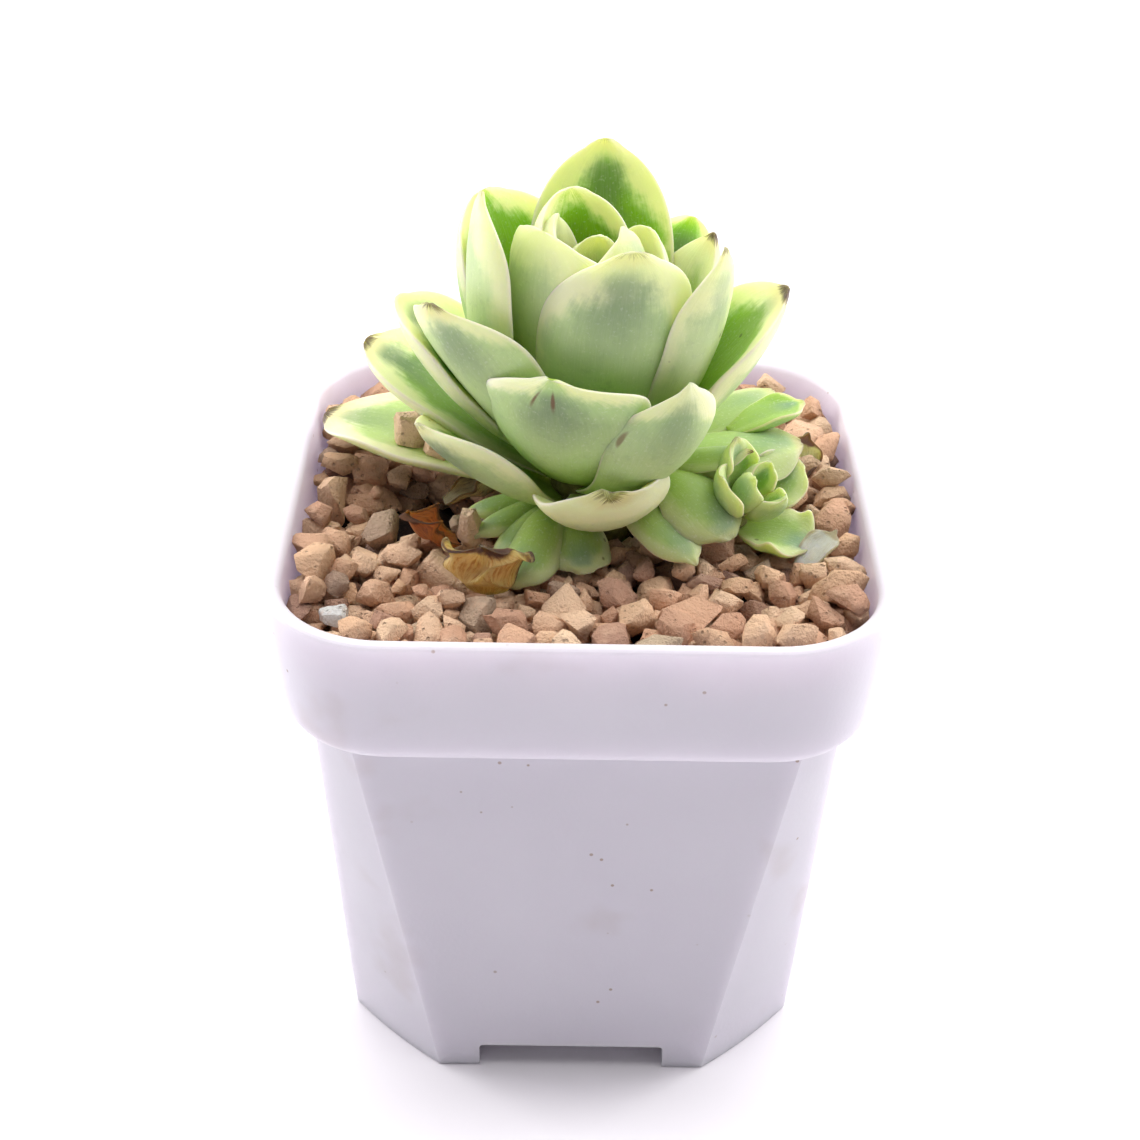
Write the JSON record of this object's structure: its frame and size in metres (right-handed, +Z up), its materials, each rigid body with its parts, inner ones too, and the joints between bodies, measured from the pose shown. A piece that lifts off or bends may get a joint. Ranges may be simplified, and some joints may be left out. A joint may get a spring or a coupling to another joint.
{
  "type": "potted succulent",
  "caption": "Small variegated rosette succulent with offsets, growing in a square plastic pot topped with clay gravel; free-standing on the pot's foot.",
  "frame": {"origin": "centre of the pot's foot, on the surface that the pot stands on", "axes": "+Z up along the plant; the pot's sides face along X and Y, and the side with the drooping and dry leaves faces -Y"},
  "size_m": [0.07, 0.07, 0.1044],
  "materials": {
    "pot_plastic": "satin",
    "potting_mix": "rough, fibrous and crumbly",
    "clay_gravel": "rough, porous, dusty",
    "pale_stone": "rough",
    "leaf_variegated": "waxy satin, green centre and cream margins",
    "leaf_green": "waxy satin, green with a pale edge",
    "leaf_dry": "dry, papery, streaked",
    "stem": "dull, slightly corky"
  },
  "bodies": {
    "root": {"pot": "pot_plastic", "potting_mix": "potting_mix", "gravel_bed": "clay_gravel", "main_stem": "stem", "right_offset_stem": "stem", "heart_leaf_front": "leaf_variegated", "heart_leaf_left": "leaf_variegated", "heart_leaf_right": "leaf_variegated", "back_hood_leaf": "leaf_variegated", "right_small_leaf": "leaf_variegated", "front_left_bud_leaf": "leaf_variegated", "front_centre_leaf": "leaf_variegated", "back_tall_leaf": "leaf_variegated", "left_upright_leaf": "leaf_variegated", "back_left_broad_leaf": "leaf_variegated", "back_right_leaf": "leaf_variegated", "right_middle_leaf": "leaf_variegated", "right_front_leaf": "leaf_variegated", "front_low_leaf": "leaf_variegated", "left_front_leaf": "leaf_variegated", "right_broad_leaf": "leaf_variegated", "right_front_low_leaf": "leaf_variegated", "left_inner_leaf": "leaf_variegated", "left_outer_leaf": "leaf_variegated", "front_curled_leaf": "leaf_variegated", "left_front_low_leaf": "leaf_variegated", "back_low_leaf": "leaf_variegated", "back_right_low_leaf": "leaf_variegated", "back_left_low_leaf": "leaf_variegated", "left_lying_leaf": "leaf_variegated", "side_wide_leaf": "leaf_green", "side_upper_leaf": "leaf_green", "side_tip_leaf": "leaf_green", "side_pointed_leaf": "leaf_green", "side_front_leaf": "leaf_green", "side_hanging_leaf": "leaf_green", "offset_heart_leaf_a": "leaf_green", "offset_heart_leaf_b": "leaf_green", "offset_heart_leaf_c": "leaf_green", "offset_inner_leaf": "leaf_green", "offset_left_leaf": "leaf_green", "offset_right_leaf": "leaf_green", "offset_back_leaf": "leaf_green", "front_offset_leaf_a": "leaf_green", "front_offset_leaf_b": "leaf_green", "front_offset_leaf_c": "leaf_green", "front_offset_leaf_d": "leaf_green", "front_offset_leaf_e": "leaf_green", "dry_cup_leaf": "leaf_dry", "dry_papery_leaf": "leaf_dry", "dry_pale_leaf": "leaf_dry", "half_buried_leaf": "leaf_dry", "fallen_pale_leaf": "leaf_dry", "stone_on_leaf_outer": "clay_gravel", "stone_on_leaf_inner": "clay_gravel", "upright_stone": "clay_gravel", "tall_stone": "clay_gravel", "speckled_stone": "clay_gravel", "white_stone": "pale_stone"}
  },
  "joints": []
}
